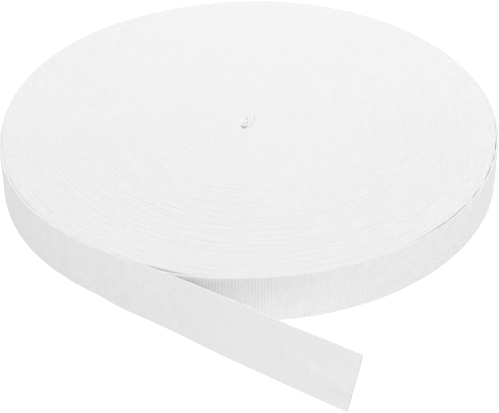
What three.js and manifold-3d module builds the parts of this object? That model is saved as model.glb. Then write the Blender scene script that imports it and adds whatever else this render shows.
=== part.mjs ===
// A roll of cotton webbing lying on its side: one long narrow tape wound flat on itself without
// a core, with its outer end pulled loose along the surface. Millimetres, +Z up. The origin is
// the winding axis at the surface that the roll lies on, and angles run anticlockwise from +X.

import * as THREE from 'three';
import { mergeVertices } from 'three/addons/utils/BufferGeometryUtils.js';
import Module from 'manifold-3d';

// The tape
const tapeWidth = 25;
const tapeThickness = 1;
const hairline = 0.3;

// The winding
const rollRadius = 125;
const turnStep = tapeThickness + hairline;
const leaveAngle = 224.5;
const columns = 120;
const edgeRounding = 0.45;

// The centre, where the folded start of the tape leaves a narrow slot
const slot = { x: -2.7, y: -3.3, halfLength: 2.1, halfWidth: 0.9, tilt: 12, corners: 14 };

// The loose end
const looseLength = 162;
const looseSteps = 54;
const cutSkew = 2.7;

// How far the outline stands out from an even spiral: the whole wall, and the top rim beyond it
const outline = [
  { angle: 224.5, wall: 0.0, rim: -1.9 },
  { angle: 236, wall: 0.0, rim: -2.8 },
  { angle: 246, wall: 0.0, rim: -1.1 },
  { angle: 262, wall: 0.0, rim: -0.3 },
  { angle: 290, wall: 0.2, rim: 0.0 },
  { angle: 318, wall: -0.1, rim: 0.8 },
  { angle: 345, wall: 0.0, rim: 0.1 },
  { angle: 395, wall: -0.1, rim: 0.0 },
  { angle: 425, wall: 0.5, rim: 0.0 },
  { angle: 472, wall: -0.7, rim: 0.0 },
  { angle: 500, wall: -0.2, rim: 0.0 },
  { angle: 532, wall: -1.1, rim: 0.0 },
  { angle: 560, wall: -0.4, rim: -0.2 },
  { angle: 574, wall: 0.0, rim: -0.6 },
  { angle: 584.5, wall: 0.0, rim: -1.9 },
];

// How far the outermost turn stands off the one beneath it, as a groove in the top
const standOff = [
  { angle: 224.5, depth: 0.2 },
  { angle: 244, depth: 0.4 },
  { angle: 252, depth: 2.4 },
  { angle: 262, depth: 0.4 },
  { angle: 290, depth: 0.2 },
  { angle: 308, depth: 1.6 },
  { angle: 338, depth: 1.8 },
  { angle: 352, depth: 0.2 },
  { angle: 530, depth: 0.1 },
  { angle: 556, depth: 0.9 },
  { angle: 574, depth: 0.3 },
  { angle: 584.5, depth: 0.2 },
];

// The top, from the middle outwards: groups of turns that stand proud or lie low
const turnGroups = [
  { reach: 6, rise: -0.2 },
  { reach: 17, rise: 0.35 },
  { reach: 37, rise: -0.1 },
  { reach: 57, rise: 0.2 },
  { reach: 68, rise: -0.25 },
  { reach: 84, rise: 0.2 },
  { reach: 96, rise: -0.25 },
  { reach: 104, rise: 0.3 },
  { reach: 113, rise: -0.2 },
  { reach: 123.1, rise: 0.15 },
];

// The loose end's run from where it leaves the roll: its heading, and how far its top leans back
const looseRun = [
  { along: 0, heading: -45.3, lean: 3.0 },
  { along: 12, heading: -41.6, lean: 4.6 },
  { along: 25, heading: -38.8, lean: 7.8 },
  { along: 40, heading: -37.2, lean: 9.4 },
  { along: 55, heading: -36.5, lean: 16.0 },
  { along: 75, heading: -36.5, lean: 23.6 },
  { along: 105, heading: -35.8, lean: 29.3 },
  { along: 135, heading: -34.8, lean: 33.2 },
  { along: 162, heading: -34.4, lean: 41.5 },
];

const radians = THREE.MathUtils.degToRad;

// A line through one column of a table, smooth unless it is asked to be straight between rows
function column(rows, key, name, Line = THREE.CubicInterpolant) {
  const places = new Float32Array(rows.map((row) => row[key]));
  const values = new Float32Array(rows.map((row) => row[name]));
  const line = new Line(places, values, 1);
  return (at) => line.evaluate(at)[0];
}

function cotton(color, roughness) {
  return new THREE.MeshStandardMaterial({ color, roughness, metalness: 0 });
}

// The wound roll's section from the axis at the base, up the wall, and back in over the top
function rollSection() {
  const inside = rollRadius - tapeThickness;
  const points = [
    { radius: 0, height: 0, rise: 0 },
    { radius: rollRadius - edgeRounding, height: 0, rise: 0 },
    { radius: rollRadius, height: edgeRounding, rise: 0 },
    { radius: rollRadius, height: tapeWidth - edgeRounding, rise: 0 },
    { radius: rollRadius - edgeRounding, height: tapeWidth, rise: 0 },
    { radius: inside, height: tapeWidth - edgeRounding / 2, rise: 0 },
    { radius: inside - hairline, height: tapeWidth - edgeRounding / 2, rise: 0, groove: 1 },
    { radius: inside - 2 * hairline, height: tapeWidth, rise: 0 },
  ];
  for (let n = turnGroups.length - 1; n >= 0; n -= 1) {
    const { rise, reach } = turnGroups[n];
    const inner = n > 0 ? turnGroups[n - 1].reach : -hairline;
    points.push({ radius: reach - hairline, height: tapeWidth, rise, group: n });
    points.push({ radius: inner + hairline, height: tapeWidth, rise, group: n });
  }
  return points;
}

// The section turned about the axis, then each point moved to where the winding puts it:
// the outline grows by one turn on its way round, and steps back in where the loose end leaves
function woundRoll() {
  const section = rollSection();
  const profile = section.map((point) => new THREE.Vector2(point.radius, point.height));
  const roll = new THREE.LatheGeometry(profile, columns);
  const wallOut = column(outline, 'angle', 'wall');
  const rimOut = column(outline, 'angle', 'rim');
  const grooveDepth = column(standOff, 'angle', 'depth', THREE.LinearInterpolant);
  const clearance = THREE.MathUtils.radToDeg(hairline / rollRadius);
  const place = roll.attributes.position;
  for (let index = 0; index < place.count; index += 1) {
    const step = Math.floor(index / section.length) % columns;
    const { radius, height, rise, group = 0, groove = 0 } = section[index % section.length];
    const share = step / (columns - 1);
    const angle = leaveAngle + share * (360 - 2 * clearance);
    const nearRim = (radius / rollRadius) ** 3;
    const growth = turnStep * (share - 0.5) * Math.min(1, radius / 20);
    const out = wallOut(angle) + rimOut(angle) * (height / tapeWidth);
    const far = radius + growth + nearRim * out;
    const wave = radius > 0 ? 0.4 * Math.sin(2 * radians(angle) + 1.7 * group) : 0;
    const up = height + rise * (1 + wave) - groove * grooveDepth(angle);
    const turn = radians(angle - clearance);
    place.setXYZ(index, far * Math.cos(turn), far * Math.sin(turn), up);
  }
  return roll;
}

// A narrow oval through the whole width of the tape
function centreSlot() {
  const oval = new THREE.Shape();
  oval.absellipse(0, 0, slot.halfLength, slot.halfWidth, 0, 2 * Math.PI, false, radians(slot.tilt));
  const depth = tapeWidth + 4;
  const bar = new THREE.ExtrudeGeometry(oval, {
    depth,
    bevelEnabled: false,
    curveSegments: slot.corners,
  });
  return bar.translate(slot.x, slot.y, -2);
}

// Positions alone, with shared points merged, as a closed solid for a cut
function solid(wasm, geometry) {
  const bare = geometry.clone();
  bare.deleteAttribute('normal');
  bare.deleteAttribute('uv');
  const merged = mergeVertices(bare, 1e-4);
  return new wasm.Manifold(new wasm.Mesh({
    numProp: 3,
    vertProperties: new Float32Array(merged.attributes.position.array),
    triVerts: new Uint32Array(merged.index.array),
  }));
}

function geometryOf(body) {
  const { vertProperties, triVerts } = body.getMesh();
  const geometry = new THREE.BufferGeometry();
  geometry.setAttribute('position', new THREE.BufferAttribute(vertProperties, 3));
  geometry.setIndex(new THREE.BufferAttribute(triVerts, 1));
  geometry.computeVertexNormals();
  return geometry;
}

// The outer face's lower edge, followed from the roll along the surface in short straight steps
function looseEdge() {
  const heading = column(looseRun, 'along', 'heading');
  const lean = column(looseRun, 'along', 'lean');
  const stride = 0.5;
  const start = radians(leaveAngle);
  const startRadius = rollRadius - turnStep / 2 + turnStep;
  const track = [new THREE.Vector2(startRadius * Math.cos(start), startRadius * Math.sin(start))];
  for (let along = stride; along <= looseLength + stride; along += stride) {
    const way = radians(heading(Math.min(along - stride / 2, looseLength)));
    const last = track[track.length - 1];
    track.push(new THREE.Vector2(
      last.x + stride * Math.cos(way),
      last.y + stride * Math.sin(way),
    ));
  }
  return (along) => {
    const n = Math.min(Math.floor(along / stride), track.length - 2);
    const foot = track[n].clone().lerp(track[n + 1], along / stride - n);
    return { foot, heading: radians(heading(along)), lean: radians(lean(along)) };
  };
}

// A flat length of tape, bent to the run: its foot stays on the surface while its top leans back
function looseEnd() {
  const flat = new THREE.BoxGeometry(looseLength, tapeThickness, tapeWidth, looseSteps, 1, 3);
  flat.translate(looseLength / 2, tapeThickness / 2, tapeWidth / 2);
  const edge = looseEdge();
  const place = flat.attributes.position;
  for (let index = 0; index < place.count; index += 1) {
    const across = place.getZ(index);
    const inward = place.getY(index);
    const shortening = 1 - (cutSkew / looseLength) * (across / tapeWidth);
    const { foot, heading, lean } = edge(place.getX(index) * shortening);
    const outward = -inward * Math.cos(lean) - across * Math.sin(lean);
    const up = (tapeThickness - inward) * Math.sin(lean) + across * Math.cos(lean);
    place.setXYZ(
      index,
      foot.x + outward * Math.sin(heading),
      foot.y - outward * Math.cos(heading),
      up,
    );
  }
  flat.computeVertexNormals();
  return flat;
}

const wasm = await Module();
wasm.setup();

const windings = solid(wasm, woundRoll()).subtract(solid(wasm, centreSlot()));
const wound = new THREE.Mesh(geometryOf(windings), cotton('#efeeec', 0.9));
wound.name = 'wound_roll';

const loose = new THREE.Mesh(looseEnd(), cotton('#eceae8', 0.88));
loose.name = 'loose_end';

const rollOfWebbing = new THREE.Group();
rollOfWebbing.add(wound, loose);

export default rollOfWebbing;
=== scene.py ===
import math

import bmesh
import bpy
from mathutils import Matrix, Vector, noise


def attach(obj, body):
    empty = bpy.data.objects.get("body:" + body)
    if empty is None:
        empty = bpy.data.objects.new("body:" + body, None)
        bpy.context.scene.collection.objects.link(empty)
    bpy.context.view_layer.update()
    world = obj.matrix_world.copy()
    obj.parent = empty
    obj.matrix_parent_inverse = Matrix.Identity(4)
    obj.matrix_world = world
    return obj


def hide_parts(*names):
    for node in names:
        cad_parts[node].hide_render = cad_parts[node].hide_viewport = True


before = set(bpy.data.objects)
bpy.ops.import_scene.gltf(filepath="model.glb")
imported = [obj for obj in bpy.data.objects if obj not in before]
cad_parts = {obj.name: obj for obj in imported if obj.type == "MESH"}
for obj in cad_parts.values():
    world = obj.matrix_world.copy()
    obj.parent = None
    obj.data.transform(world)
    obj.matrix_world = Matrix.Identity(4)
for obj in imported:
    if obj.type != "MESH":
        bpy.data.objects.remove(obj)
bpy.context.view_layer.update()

mm = 0.001


# The view: a long lens from in front, just under half a metre above the surface. Its aim
# dips below the middle of the roll's top, and it leans by less than a degree.
roll_height = 25 * mm
roll_radius = 125 * mm
photo_width = 499
focal_pixels = 1670.2
sensor = 36
camera_distance = 841.25 * mm
camera_height_angle = math.radians(33.4)
aim_dip = math.radians(2.85)
camera_lean = math.radians(0.73)

camera_data = bpy.data.cameras.new("camera")
camera_data.sensor_width = sensor
camera_data.lens = sensor * focal_pixels / photo_width
camera_data.dof.use_dof = False
camera = bpy.data.objects.new("camera", camera_data)
camera.rotation_mode = "ZYX"
camera.rotation_euler = (math.pi / 2 - camera_height_angle - aim_dip, 0, -camera_lean)
camera.location = (
    0,
    -camera_distance * math.cos(camera_height_angle),
    roll_height + camera_distance * math.sin(camera_height_angle),
)
bpy.context.scene.collection.objects.link(camera)
bpy.context.scene.camera = camera
bpy.context.scene.view_settings.view_transform = "Standard"


# The surface and the light: a pale matt table that is seen as plain white, an even white room,
# and three broad soft lamps, which stand above, behind and in front of the roll.
table_reach = 3
table_paint = 0.8
table_glow = 0.34
seen_white = 1.1
room_light = 0.55
lamps = [
    {"name": "lamp_above", "at": (0.1, 0.0, 1.6), "width": 0.8, "watts": 3.3},
    {"name": "lamp_behind", "at": (0.1, 0.5, 0.7), "width": 0.8, "watts": 1.9},
    {"name": "lamp_front", "at": (0.15, -0.8, 0.9), "width": 0.8, "watts": 1.95},
]

mesh = bmesh.new()
bmesh.ops.create_grid(mesh, x_segments=2, y_segments=2, size=table_reach)
table_mesh = bpy.data.meshes.new("table")
mesh.to_mesh(table_mesh)
mesh.free()
table = bpy.data.objects.new("table", table_mesh)
bpy.context.scene.collection.objects.link(table)


class Pattern:
    """A socket of a material. Sums written with it add Math nodes."""

    def __init__(self, tree, socket=None):
        self.tree = tree
        self.socket = socket

    def node(self, kind, settings, values, output=0):
        made = self.tree.nodes.new("ShaderNode" + kind)
        for name, setting in settings.items():
            setattr(made, name, setting)
        for name, value in values.items():
            if isinstance(value, Pattern):
                self.tree.links.new(value.socket, made.inputs[name])
            else:
                made.inputs[name].default_value = value
        return Pattern(self.tree, made.outputs[output] if made.outputs else None)

    def maths(self, operation, *values):
        return self.node("Math", {"operation": operation}, dict(enumerate(values)))

    def __add__(self, other):
        return self.maths("ADD", self, other)

    def __radd__(self, other):
        return self.maths("ADD", other, self)

    def __sub__(self, other):
        return self.maths("SUBTRACT", self, other)

    def __rsub__(self, other):
        return self.maths("SUBTRACT", other, self)

    def __mul__(self, other):
        return self.maths("MULTIPLY", self, other)

    def __rmul__(self, other):
        return self.maths("MULTIPLY", other, self)

    def __truediv__(self, other):
        return self.maths("DIVIDE", self, other)


table_material = bpy.data.materials.new("table_white")
table_material.use_nodes = True
table_material.node_tree.nodes.clear()
table_nodes = Pattern(table_material.node_tree)
seen = table_nodes.node("LightPath", {}, {}, "Is Camera Ray")
paint = table_nodes.node(
    "BsdfPrincipled",
    {},
    {
        "Base Color": (table_paint, table_paint, table_paint, 1),
        "Roughness": 0.9,
        "Specular IOR Level": 0.1,
        "Emission Color": (1, 1, 1, 1),
        "Emission Strength": table_glow,
    },
)
plain_white = table_nodes.node("Emission", {}, {"Color": (1, 1, 1, 1), "Strength": seen_white})
table_shader = table_nodes.node("MixShader", {}, {0: seen, 1: paint, 2: plain_white})
table_nodes.node("OutputMaterial", {}, {"Surface": table_shader})
table_mesh.materials.append(table_material)

room = bpy.data.worlds.new("room")
room.use_nodes = True
room.node_tree.nodes["Background"].inputs["Color"].default_value = (1, 1, 1, 1)
room.node_tree.nodes["Background"].inputs["Strength"].default_value = room_light
bpy.context.scene.world = room

for lamp in lamps:
    lamp_data = bpy.data.lights.new(lamp["name"], "AREA")
    lamp_data.shape = "DISK"
    lamp_data.size = lamp["width"]
    lamp_data.energy = lamp["watts"]
    lamp_object = bpy.data.objects.new(lamp["name"], lamp_data)
    lamp_object.location = lamp["at"]
    aim = Vector((0, 0, 0)) - Vector(lamp["at"])
    lamp_object.rotation_euler = aim.to_track_quat("-Z", "Y").to_euler()
    bpy.context.scene.collection.objects.link(lamp_object)


# The webbing: bleached cotton in a herringbone weave, with heavy picks across the tape, seen as
# ribs, and finer ends along it, each over two picks and under two. Its colour holds painted shade
# in the valleys between the ribs and the floats, and a painted highlight along the tape's close
# edges, where its top catches the light from above. Its faces are faintly blotchy, and towards the
# loose end's cut they are rubbed flatter and painted lighter, as the end leans back to the light.
tape_width = 25 * mm
pick_pitch = 1.48 * mm
end_pitch = 0.66 * mm
ends_per_stripe = 9
picks_per_repeat = 4
# Painted light and shade of one white cotton: crests painted lit, valleys painted shaded
cotton_painted_light = (0.955, 0.955, 0.955, 1)
cotton_painted_shade = (0.845, 0.845, 0.845, 1)
# A painted highlight along the tape's edges, where the top catches the light from above
edge_highlight_white = (0.965, 0.965, 0.965, 1)
edge_width = 0.6 * mm
edge_highlight_share = 0.6
# Shares of the painted shade: valleys darkest, ribs and floats painted lit on their crests
weave_shade_shares = {"valley": 0.2, "rib": 0.64, "over": 0.16}
weave_depth = 0.14 * mm
bump_strength = 0.8
heights = {"over": 0.15, "rib": 0.45, "yarn": 0.1, "fuzz": 0.3}
fuzz_size = 1.64 * mm
blotch_size = 4.5 * mm
blotch_strength = 0.65
rubbed_flat = 0.7
# How far the loose end is painted lighter towards its cut, where it leans back to the light
cut_painted_light = 1.2
rubbed_after = 100 * mm


def woven_cotton(name):
    material = bpy.data.materials.new(name)
    material.use_nodes = True
    tree = material.node_tree
    tree.nodes.clear()
    nodes = Pattern(tree)
    flat = nodes.node("UVMap", {"uv_map": "tape"}, {})
    along = nodes.node("SeparateXYZ", {}, {0: flat}, 0)
    across = nodes.node("SeparateXYZ", {}, {0: flat}, 1)
    pick = along / pick_pitch
    end = across / end_pitch
    stripe = nodes.maths("FLOOR", nodes.maths("PINGPONG", end, ends_per_stripe))
    turn = (pick + stripe) * (2 * math.pi / picks_per_repeat)
    over = 0.5 + 0.5 * nodes.maths("SINE", turn)
    rib = nodes.maths("ABSOLUTE", nodes.maths("SINE", pick * math.pi))
    yarn = nodes.maths("ABSOLUTE", nodes.maths("SINE", end * math.pi))
    spread = nodes.node("VectorMath", {"operation": "SCALE"}, {0: flat, 3: 1 / fuzz_size})
    fuzz = nodes.node(
        "TexNoise", {"noise_dimensions": "2D"}, {"Vector": spread, "Scale": 1.0, "Detail": 4.0}
    )
    wider = nodes.node("VectorMath", {"operation": "SCALE"}, {0: flat, 3: 1 / blotch_size})
    blotch = nodes.node(
        "TexNoise", {"noise_dimensions": "2D"}, {"Vector": wider, "Scale": 1.0, "Detail": 2.0}
    )
    pulled = nodes.node(
        "Math", {"operation": "DIVIDE", "use_clamp": True}, {0: along, 1: rubbed_after}
    )
    # Towards the cut the ribs are rubbed flatter, and the colour there is painted lighter
    rubbed_and_lit = rubbed_flat * pulled * pulled
    weave = heights["over"] * over + heights["rib"] * rib + heights["yarn"] * yarn
    height = weave * (1 - rubbed_and_lit) + heights["fuzz"] * fuzz
    bump = nodes.node(
        "Bump", {}, {"Height": height, "Strength": bump_strength, "Distance": weave_depth}
    )
    # Painted shade: darker in the valleys between ribs and floats, lighter on their crests
    weave_shading = weave_shade_shares["valley"] + weave_shade_shares["rib"] * rib + weave_shade_shares["over"] * over
    # Painted rib shade fades towards the cut, painted light rises there; the blotches are random
    # tone
    shade_light_and_blotch = weave_shading + (cut_painted_light - weave_shading) * rubbed_and_lit + blotch_strength * (blotch - 0.5)
    cloth = nodes.node("Mix", {"data_type": "RGBA"}, {0: shade_light_and_blotch, 6: cotton_painted_shade, 7: cotton_painted_light}, 2)
    # A painted highlight along both edges of the tape
    off_middle = nodes.maths("ABSOLUTE", across - tape_width / 2)
    at_edge = nodes.maths("GREATER_THAN", off_middle, tape_width / 2 - edge_width)
    edge_highlight = edge_highlight_share * at_edge
    colour = nodes.node("Mix", {"data_type": "RGBA"}, {0: edge_highlight, 6: cloth, 7: edge_highlight_white}, 2)
    shader = nodes.node(
        "BsdfPrincipled",
        {},
        {"Base Color": colour, "Roughness": 0.92, "Specular IOR Level": 0.15, "Normal": bump},
    )
    nodes.node("OutputMaterial", {}, {"Surface": shader})
    return material


webbing = woven_cotton("woven_cotton")


# The turns: one tape wound edge upwards on itself, from a folded start to the place at the front
# left where its outer end comes away. Every turn keeps its own height and tightness, and beside
# the loose end the last turn has slipped down, which opens a slit.
tape_thickness = 1 * mm
packed_pitch = 1 * mm
hairline = 0.012 * mm
first_step = 1.3 * mm
leave_angle = 224.5
turn_count = 121.7
turn_steps = 144

# How far the outline stands out from an even spiral: the whole wall, and the top rim beyond it
outline = [
    {"angle": 224.5, "wall": 0.0, "rim": -1.6},
    {"angle": 230, "wall": 0.0, "rim": -1.6},
    {"angle": 236, "wall": 0.0, "rim": -2.4},
    {"angle": 241, "wall": 0.0, "rim": -1.3},
    {"angle": 246, "wall": 0.0, "rim": -0.5},
    {"angle": 249, "wall": 0.0, "rim": -0.2},
    {"angle": 251, "wall": 0.1, "rim": -0.1},
    {"angle": 253, "wall": 0.4, "rim": -0.1},
    {"angle": 255, "wall": 0.8, "rim": -0.1},
    {"angle": 257, "wall": 1.0, "rim": -0.05},
    {"angle": 261, "wall": 1.1, "rim": 0.1},
    {"angle": 265, "wall": 0.8, "rim": -0.1},
    {"angle": 270, "wall": 0.3, "rim": -0.2},
    {"angle": 276, "wall": 0.1, "rim": 0.0},
    {"angle": 290, "wall": 0.2, "rim": 0.0},
    {"angle": 318, "wall": -0.1, "rim": 0.8},
    {"angle": 345, "wall": 0.0, "rim": 0.1},
    {"angle": 395, "wall": -0.1, "rim": 0.0},
    {"angle": 425, "wall": 0.5, "rim": 0.0},
    {"angle": 472, "wall": -0.7, "rim": 0.0},
    {"angle": 500, "wall": -0.2, "rim": 0.0},
    {"angle": 532, "wall": -1.1, "rim": 0.0},
    {"angle": 560, "wall": -0.4, "rim": -0.2},
    {"angle": 574, "wall": 0.0, "rim": -0.6},
    {"angle": 584.5, "wall": 0.0, "rim": -1.6},
]

# The gap in the top between the last turn and the one that it lies on
gaps = [
    {"angle": 224.5, "gap": 0.02},
    {"angle": 232, "gap": 0.08},
    {"angle": 242, "gap": 0.08},
    {"angle": 247.5, "gap": 0.02},
    {"angle": 249.5, "gap": 0.3},
    {"angle": 251.5, "gap": 0.45},
    {"angle": 254, "gap": 0.4},
    {"angle": 256, "gap": 0.25},
    {"angle": 258, "gap": 0.05},
    {"angle": 260, "gap": 0.02},
    {"angle": 302, "gap": 0.02},
    {"angle": 309, "gap": 0.26},
    {"angle": 325, "gap": 0.2},
    {"angle": 339, "gap": 0.2},
    {"angle": 352, "gap": 0.15},
    {"angle": 362, "gap": 0.02},
    {"angle": 440, "gap": 0.01},
    {"angle": 562, "gap": 0.01},
    {"angle": 567, "gap": 0.08},
    {"angle": 576, "gap": 0.08},
    {"angle": 580, "gap": 0.02},
    {"angle": 584.5, "gap": 0.02},
]

# How far the last turn has slipped down at its upper edge
slipped = [
    {"angle": 224.5, "down": 0.0},
    {"angle": 244, "down": 0.0},
    {"angle": 247.5, "down": 0.0},
    {"angle": 249.5, "down": 0.7},
    {"angle": 251, "down": 0.9},
    {"angle": 253, "down": 0.8},
    {"angle": 255.5, "down": 0.4},
    {"angle": 258, "down": 0.0},
    {"angle": 270, "down": 0.0},
    {"angle": 584.5, "down": 0.0},
]

# The top, from the middle outwards: groups of turns that stand proud or lie low
turn_groups = [
    {"reach": 6, "rise": -0.2},
    {"reach": 17, "rise": 0.35},
    {"reach": 37, "rise": -0.1},
    {"reach": 57, "rise": 0.2},
    {"reach": 68, "rise": -0.25},
    {"reach": 84, "rise": 0.2},
    {"reach": 96, "rise": -0.25},
    {"reach": 104, "rise": 0.3},
    {"reach": 113, "rise": -0.2},
    {"reach": 126, "rise": 0.15},
]


def smooth_line(rows, key, name, unit=1.0):
    """A smooth curve through one column of a table, as a function."""
    places = [row[key] for row in rows]
    values = [row[name] * unit for row in rows]
    last = len(rows) - 1

    def slope(n):
        low, high = max(n - 1, 0), min(n + 1, last)
        return (values[high] - values[low]) / (places[high] - places[low])

    def at(place):
        n = max(sum(1 for start in places if start <= place) - 1, 0)
        n = min(n, last - 1)
        span = places[n + 1] - places[n]
        part = (place - places[n]) / span
        rest = 1 - part
        return (
            values[n] * (1 + 2 * part) * rest * rest
            + slope(n) * span * part * rest * rest
            + values[n + 1] * (3 - 2 * part) * part * part
            - slope(n + 1) * span * rest * part * part
        )

    return at


wall_out = smooth_line(outline, "angle", "wall", mm)
rim_out = smooth_line(outline, "angle", "rim", mm)
gap_at = smooth_line(gaps, "angle", "gap", mm)
slipped_at = smooth_line(slipped, "angle", "down", mm)


def step_between(place, low, high):
    part = min(max((place - low) / (high - low), 0), 1)
    return part * part * (3 - 2 * part)


shoulder = 0.6 * mm
even_inside = 40 * mm
uneven_outside = 85 * mm
least_uneven = 0.3
front_focus = 1.5
even_groove = 0.3
uneven_groove = 1.5
bunch_width = 2.2 * mm
bunches_round = 6
bunch_sharpness = 4
bunch_lift = 0.08 * mm
turn_lift = 0.12 * mm
group_share = 0.25
least_lift = 0.25
most_slack = 0.18 * mm
slack_begins = (0.8, 3)
slack_ends = (4, 12)


def group_rise(radius):
    """How high a turn of this radius stands over its neighbours, from the groups of turns."""
    rise = turn_groups[0]["rise"]
    for inner, outer in zip(turn_groups, turn_groups[1:]):
        edge = inner["reach"] * mm
        risen = step_between(radius, edge - shoulder, edge + shoulder)
        rise += (outer["rise"] - inner["rise"]) * risen
    return rise * mm


def unevenness(radius, angle):
    """How unevenly the turns lie, from 0 to 1: most at the front, and little in the middle."""
    front = (0.5 - 0.5 * math.sin(math.radians(angle))) ** front_focus
    outside = step_between(radius, even_inside, uneven_outside)
    return front * (least_uneven + (1 - least_uneven) * outside)


def groove_of(radius, angle):
    """How round a turn's upper edge is, which makes the groove between it and the next one."""
    return even_groove + uneven_groove * unevenness(radius, angle)


def lift_of(radius, angle, turns_in):
    """How far the upper edge of one place on the tape lies off the roll's height."""
    theta = math.radians(angle)
    east, north = bunches_round * math.cos(theta), bunches_round * math.sin(theta)
    bunch = math.tanh(bunch_sharpness * noise.noise((radius / bunch_width, east, north)))
    own = noise.noise((14.3 * turns_in, 5.7, 4.7))
    lift = group_share * group_rise(radius) + (bunch_lift * bunch + turn_lift * own)
    return (least_lift + (1 - least_lift) * unevenness(radius, angle)) * lift


def slack(turns_in):
    """How far a turn strays from an even winding, because the tape isn't evenly thick."""
    turns_out = turn_count - turns_in
    share = step_between(turns_in, *slack_begins) * step_between(turns_out, *slack_ends)
    return most_slack * share * noise.noise((1.7 * turns_in, 9.1, 2.2))


# The gap opens within a fortieth of a turn beneath the last one, and eases off over the next
# twelve turns. At the right it comes and goes in dashes, each a degree or so long.
dash_length = 1.3
dash_contrast = 3.6
dashes_begin = (290, 300)
dashes_end = (370, 380)
gap_opening = 40
gap_turns = 12
gap_at_foot = 0.25
level_part = (0.02, 0.3)


def wound_spot(turns_in):
    """A place on the tape, counted in turns inwards from where it leaves the roll."""
    angle = leave_angle + 360 * (1 - turns_in % 1)
    if turns_in < 1:
        radius = roll_radius + first_step * (0.5 - turns_in)
    else:
        radius = roll_radius - 0.5 * first_step - packed_pitch * (turns_in - 1)
    radius += slack(turns_in)
    under = turns_in - 1
    dashed = step_between(angle, *dashes_begin) - step_between(angle, *dashes_end)
    dashes = max(0, 1 + dashed * dash_contrast * noise.noise((angle / dash_length, 0.3, 0.8)))
    opened = min(1, max(0, gap_opening * under)) * max(0, 1 - under / gap_turns)
    gap = dashes * gap_at(angle) * opened
    down = slipped_at(angle) if under < 0 else 0
    near_rim = (radius / roll_radius) ** 3
    theta = math.radians(angle)
    far = radius + near_rim * wall_out(angle) - gap_at_foot * gap
    first_extra = (first_step - packed_pitch) * max(0, 1 - turns_in)
    return {
        "thick": packed_pitch + first_extra + slack(turns_in) - slack(turns_in + 1) - hairline,
        "foot": Vector((far * math.cos(theta), far * math.sin(theta))),
        "lean": (gap * (1 - gap_at_foot) - near_rim * rim_out(angle)) / tape_width,
        "lift": lift_of(radius, angle, turns_in) * step_between(turns_in, *level_part) - down,
        "groove": groove_of(radius, angle),
    }


# The middle: the tape's start is folded flat on itself and wound round twice, then laid round a
# pin that has left a slot beside the fold. The next turns are egg-shaped, and grow rounder.
egg_turns = 50
egg_tilt = math.radians(67)
whole_turns_outside = 71
turns_to_egg = whole_turns_outside + (leave_angle - math.degrees(egg_tilt) + 90) / 360 % 1
egg_reach = roll_radius - 0.5 * first_step - packed_pitch * (turns_to_egg - 1)
egg_place = Vector((-0.5, 1.0)) * mm
egg_major = Vector((math.cos(egg_tilt), math.sin(egg_tilt)))
egg_minor = Vector((-math.sin(egg_tilt), math.cos(egg_tilt)))
fold_radius = 0.74 * mm
fold_turns = 2.25
whole_egg = (fold_turns, egg_turns)
egg_ends = {
    "tip of the fold": {"along": 4.1, "aside": 1.1, "wider": 0, "turns": (0, fold_turns)},
    "foot of the fold": {"along": -1.0, "aside": 1.1, "wider": 0, "turns": (0, egg_turns)},
    "tip over the fold": {"along": 4.3, "aside": 0.8, "wider": 0, "turns": whole_egg},
    "foot of the slot": {"along": -5.5, "aside": 0.2, "wider": -1.9, "turns": whole_egg},
    "crease": {"along": -1.4, "aside": 0.7, "wider": 0, "turns": (fold_turns + 1, egg_turns)},
}


def egg_point(row):
    return (row["along"] * egg_major + row["aside"] * egg_minor) * mm


def roundness_at(turns_out):
    """How far a turn has gone from the shape of the egg to a true circle, from 0 to 1."""
    return min(1, max(0, turns_out / (egg_turns - 1)))


def egg_spot(turns_out):
    """A place on the first turns, counted outwards from the start of the fold."""
    normal_angle = egg_tilt - math.pi / 2 + 2 * math.pi * turns_out
    normal = Vector((math.cos(normal_angle), math.sin(normal_angle)))
    ends = [
        egg_point(row) + row["wider"] * mm * normal
        for row in egg_ends.values()
        if row["turns"][0] <= turns_out <= row["turns"][1]
    ]
    end = max(ends, key=lambda place: place.dot(normal))
    turns_in = turns_to_egg + egg_turns - turns_out
    egg = egg_place + end + (fold_radius + packed_pitch * turns_out + slack(turns_in)) * normal
    circle = (egg_reach - packed_pitch * (egg_turns - turns_out) + slack(turns_in)) * normal
    place = egg.lerp(circle, roundness_at(turns_out))
    rounder = roundness_at(turns_out) - roundness_at(turns_out - 1)
    pitch = packed_pitch + (circle - egg).dot(normal) * rounder
    angle = math.degrees(normal_angle) % 360
    radius = place.length
    return {
        "foot": place,
        "lean": 0,
        "lift": lift_of(radius, angle, turns_in),
        "thick": pitch + slack(turns_in) - slack(turns_in + 1) - hairline,
        "groove": groove_of(radius, angle),
    }


# The tape, laid along a trail of spots as a flat tube with rounded edges. On the last turn and
# the loose end, which show their faces, it also has its ribs and the dents of handling.
def trail_of(spots):
    """Adds to each spot its way along the tape and the direction that its outer face looks in."""
    for n, spot in enumerate(spots):
        before = spots[max(n - 1, 0)]["foot"]
        after = spots[min(n + 1, len(spots) - 1)]["foot"]
        way = (after - before).normalized()
        spot["outward"] = Vector((way.y, -way.x))
    spots[-1]["along"] = 0.0
    for n in range(len(spots) - 2, -1, -1):
        stretch = (spots[n + 1]["foot"] - spots[n]["foot"]).length
        spots[n]["along"] = spots[n + 1]["along"] - stretch
    return spots


rounded_edge = [(0.4, 0.0), (0.08, 0.12), (0.0, 0.4)]


def section_side(roundness, rows):
    """One face of the tape from its lower to its upper edge, as shares of depth and heights."""
    edge = [(inward * roundness, up * roundness * mm) for inward, up in rounded_edge]
    flat = tape_width - 2 * edge[-1][1]
    face = [(0.0, edge[-1][1] + flat * n / rows) for n in range(1, rows)]
    return edge + face + [(inward, tape_width - up) for inward, up in reversed(edge)]


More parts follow.
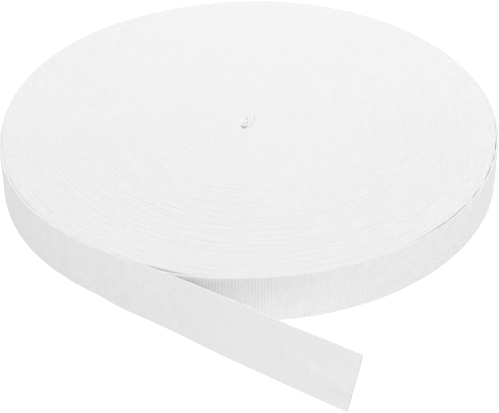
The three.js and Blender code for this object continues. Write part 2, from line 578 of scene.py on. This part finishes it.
def tape_section(outer_roundness, inner_roundness, rows):
    """Round the tape's section from its lower edge, up the outer face and down the inner one."""
    outer = section_side(outer_roundness, rows)
    inner = [(1 - inward, up) for inward, up in reversed(section_side(inner_roundness, rows))]
    return outer + inner + outer[:1]


rib_depth = 0.16 * mm
wall_dents = {"deep": 0.15 * mm, "along": 14 * mm, "up": 10 * mm}
loose_dents = {"deep": 1.1 * mm, "along": 24 * mm, "up": 13 * mm}

# The creases of the loose end, in millimetres along it and up from its lower edge
creases = [
    {"from": (128, 13), "to": (142, 10.3), "wide": 2.6, "deep": -1.1},
    {"from": (142, 10.3), "to": (158, 8.6), "wide": 2.2, "deep": -1.2},
    {"from": (152, 6), "to": (163, 4.6), "wide": 1.8, "deep": 0.8},
    {"from": (78, 7), "to": (104, 5), "wide": 4.5, "deep": -1.1},
]


def crease_depth(along, up):
    """How far the creases of the loose end push its outer face in, or out where negative."""
    deep = 0
    place = Vector((along, up)) / mm
    for crease in creases:
        start, way = Vector(crease["from"]), Vector(crease["to"]) - Vector(crease["from"])
        part = min(max((place - start).dot(way) / way.dot(way), 0), 1)
        off = (place - start - part * way).length / crease["wide"]
        deep += crease["deep"] * mm * math.exp(-off * off)
    return deep


def dent_depth(dents, along, up, seed):
    return dents["deep"] * noise.noise((along / dents["along"], up / dents["up"], seed))


def relief(spot, share, up):
    """How far a face is pushed in: a rib over each pick, and the soft dents of handling."""
    along, free = spot["along"], spot.get("free", 0)
    wave = 1 + math.cos(2 * math.pi * along / pick_pitch)
    rib = 0.5 * rib_depth * (1 - rubbed_flat * free) * wave
    dent = dent_depth(wall_dents, along, up, 3.1)
    if free > 0:
        dent += free * dent_depth(loose_dents, along, up, 7.7)
        dent += free * crease_depth(along, up)
    return rib * (1 - share * (1 + free)) + dent * (1 - share * (1 - free))


def tape_point(spot, inward, up):
    """Where a point of the tape lies, from how deep in it and how high up it is."""
    lean = math.asin(spot["lean"])
    skew = spot.get("skew", 0) * up / tape_width
    way = Vector((-spot["outward"].y, spot["outward"].x))
    out = -inward * math.cos(lean) - up * math.sin(lean)
    foot = spot["foot"] + spot["outward"] * out - way * skew
    rest = (spot["thick"] - inward) * math.sin(lean) * spot.get("free", 0)
    height = rest + up * math.cos(lean) + spot["lift"] * up / tape_width
    return Vector((foot.x, foot.y, max(height, 0)))


def webbing_piece(name, mesh):
    """Makes a finished mesh into a visible piece of the roll."""
    made = bpy.data.meshes.new(name)
    mesh.to_mesh(made)
    mesh.free()
    made.materials.append(webbing)
    piece = bpy.data.objects.new(name, made)
    bpy.context.scene.collection.objects.link(piece)
    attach(piece, "root")
    return piece


upper_edge = 1 * mm
same_point = 0.0005 * mm


def lay_tape(name, spots, section, ribbed=False):
    """A flat tube of tape, as long as its spots, carried spot by spot to where it is wound."""
    mesh = bmesh.new()
    steps, sides = len(spots) - 1, len(section) - 1
    bmesh.ops.create_grid(mesh, x_segments=steps, y_segments=sides, size=1)
    flat_map = mesh.loops.layers.uv.new("tape")
    place_of = {}
    for vert in mesh.verts:
        n = round((vert.co.x + 1) / 2 * steps)
        m = round((vert.co.y + 1) / 2 * sides)
        place_of[vert] = (spots[n], section[m])
    for face in mesh.faces:
        for loop in face.loops:
            spot, (inward, up) = place_of[loop.vert]
            loop[flat_map].uv = (spot["along"] - spot.get("skew", 0) * up / tape_width, up)
    for vert, (spot, (inward, up)) in place_of.items():
        share, inward = inward, inward * spot["thick"]
        if up > tape_width - upper_edge:
            up = tape_width - (tape_width - up) * spot.get("groove", 1)
        if ribbed:
            inward += relief(spot, share, up)
        vert.co = tape_point(spot, inward, up)
    bmesh.ops.remove_doubles(mesh, verts=mesh.verts, dist=same_point)
    open_edges = [edge for edge in mesh.edges if edge.is_boundary]
    bmesh.ops.holes_fill(mesh, edges=open_edges, sides=0)
    bmesh.ops.recalc_face_normals(mesh, faces=mesh.faces)
    for face in mesh.faces:
        face.smooth = True
    for edge in open_edges:
        edge.smooth = False
    return webbing_piece(name, mesh)


def turns_between(outer, inner, per_turn):
    """Spots from one count of turns inwards to another, listed from the inside outwards."""
    count = round((inner - outer) * per_turn)
    return [wound_spot(inner + (outer - inner) * n / count) for n in range(count + 1)]


# The roll is laid in four pieces from the middle outwards, all parts of one trail. The last
# piece is a little more than one turn, and fine enough to have its ribs in the mesh.
last_steps = 2600
last_part = 1.125
middle_within = 40
start_foot = egg_place + egg_point(egg_ends["foot of the fold"]) - fold_radius * egg_minor
start_spots = [{"foot": start_foot, "lean": 0, "lift": 0, "thick": packed_pitch - hairline}]
egg_spots = [egg_spot(n / turn_steps) for n in range(egg_turns * turn_steps)]
middle_spots = turns_between(middle_within, turns_to_egg, turn_steps)
outer_spots = turns_between(last_part, middle_within, turn_steps)
last_spots = turns_between(0, last_part, last_steps)
all_spots = start_spots + egg_spots
cuts = [{"name": "inner_turns", "start": 0}]
for name, spots in (
    ("middle_turns", middle_spots),
    ("outer_turns", outer_spots[1:]),
    ("last_turn", last_spots[1:]),
):
    cuts.append({"name": name, "start": len(all_spots) - 1})
    all_spots += spots
trail_of(all_spots)
for cut, later in zip(cuts, cuts[1:] + [{"start": len(all_spots) - 1}]):
    stretch = all_spots[cut["start"]:later["start"] + 1]
    ribbed = cut["name"] == "last_turn"
    if ribbed:
        section = tape_section(outer_roundness=0.3, inner_roundness=0.3, rows=6)
    else:
        section = tape_section(outer_roundness=0.28, inner_roundness=0.28, rows=1)
    piece = lay_tape(cut["name"], stretch, section, ribbed)
    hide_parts("wound_roll")


# The loose end: the last stretch of the same tape, pulled away along the surface. It stands on
# its lower edge, leans back further and further, and ends in a plain cut. Near the roll it is
# as thick as the last turn, and towards the cut it has been pressed thinner.
loose_length = 162 * mm
cut_skew = 2.7 * mm
loose_steps = 500
freed_within = 12 * mm
pressed_between = (70 * mm, 150 * mm)
loose_run = [
    {"along": 0, "heading": -45.5, "lean": 3.66},
    {"along": 12, "heading": -41.6, "lean": 4.8},
    {"along": 25, "heading": -38.8, "lean": 7.8},
    {"along": 40, "heading": -37.2, "lean": 9.4},
    {"along": 55, "heading": -36.5, "lean": 16.0},
    {"along": 75, "heading": -36.5, "lean": 23.6},
    {"along": 105, "heading": -35.8, "lean": 29.3},
    {"along": 135, "heading": -34.8, "lean": 33.2},
    {"along": 162, "heading": -34.4, "lean": 41.5},
]
heading_at = smooth_line(loose_run, "along", "heading")
lean_at = smooth_line(loose_run, "along", "lean")

foot = all_spots[-1]["foot"].copy()
loose_spots = []
for n in range(loose_steps + 1):
    along = loose_length * n / loose_steps
    way = math.radians(heading_at(along / mm))
    if n > 0:
        step_way = math.radians(heading_at((along - loose_length / loose_steps / 2) / mm))
        foot += Vector((math.cos(step_way), math.sin(step_way))) * loose_length / loose_steps
    pressed = step_between(along, *pressed_between)
    loose_spots.append({
        "foot": foot.copy(),
        "outward": Vector((math.sin(way), -math.cos(way))),
        "lean": math.sin(math.radians(lean_at(along / mm))),
        "lift": 0,
        "along": along,
        "thick": first_step + (tape_thickness - first_step) * pressed - hairline,
        "free": step_between(along, 0, freed_within),
        "skew": cut_skew * along / loose_length,
    })
loose_section = tape_section(outer_roundness=1.1, inner_roundness=0.1, rows=24)
loose_end = lay_tape("loose_tape", loose_spots, loose_section, ribbed=True)
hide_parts("loose_end")


# The cut: short tufts of the ends that run along the tape stand out where it was cut across.
# They are the tape's own cotton yarn, and each one leans its own way.
tuft_length = 0.6 * mm
tuft_uneven = 0.8
tuft_aside = 0.3
tuft_root = 0.3 * mm
tuft_tip = 0.12 * mm
tuft_sides = 6
tuft_sway = 0.5
tuft_middle = 0.35

mesh = bmesh.new()
flat_map = mesh.loops.layers.uv.new("tape")
cut_spot = loose_spots[-1]
cut_way = Vector((-cut_spot["outward"].y, cut_spot["outward"].x, 0))
for n in range(int(tape_width / end_pitch)):
    up = (n + 0.5) * end_pitch
    length = tuft_length * (1 + tuft_uneven * noise.noise((1.7 * n, 4.1, 0.2)))
    side = 0.5 + tuft_aside * noise.noise((2.3 * n, 1.3, 5.5))
    root = tape_point(cut_spot, side * tape_thickness, up)
    lean_out = Vector([noise.noise((3.1 * n, place, 8.8)) for place in (2.7, 5.2, 7.9)]) * tuft_sway
    heading = (cut_way + lean_out).normalized()
    turned = heading.to_track_quat("Z", "Y").to_matrix().to_4x4()
    tuft = bmesh.ops.create_cone(
        mesh,
        cap_ends=True,
        segments=tuft_sides,
        radius1=tuft_root,
        radius2=tuft_tip,
        depth=length,
        matrix=Matrix.Translation(root + heading * tuft_middle * length) @ turned,
    )
    for face in {face for vert in tuft["verts"] for face in vert.link_faces}:
        for loop in face.loops:
            loop[flat_map].uv = (loose_length, up)
for face in mesh.faces:
    face.smooth = len(face.verts) == 4
cut_tufts = webbing_piece("cut_tufts", mesh)
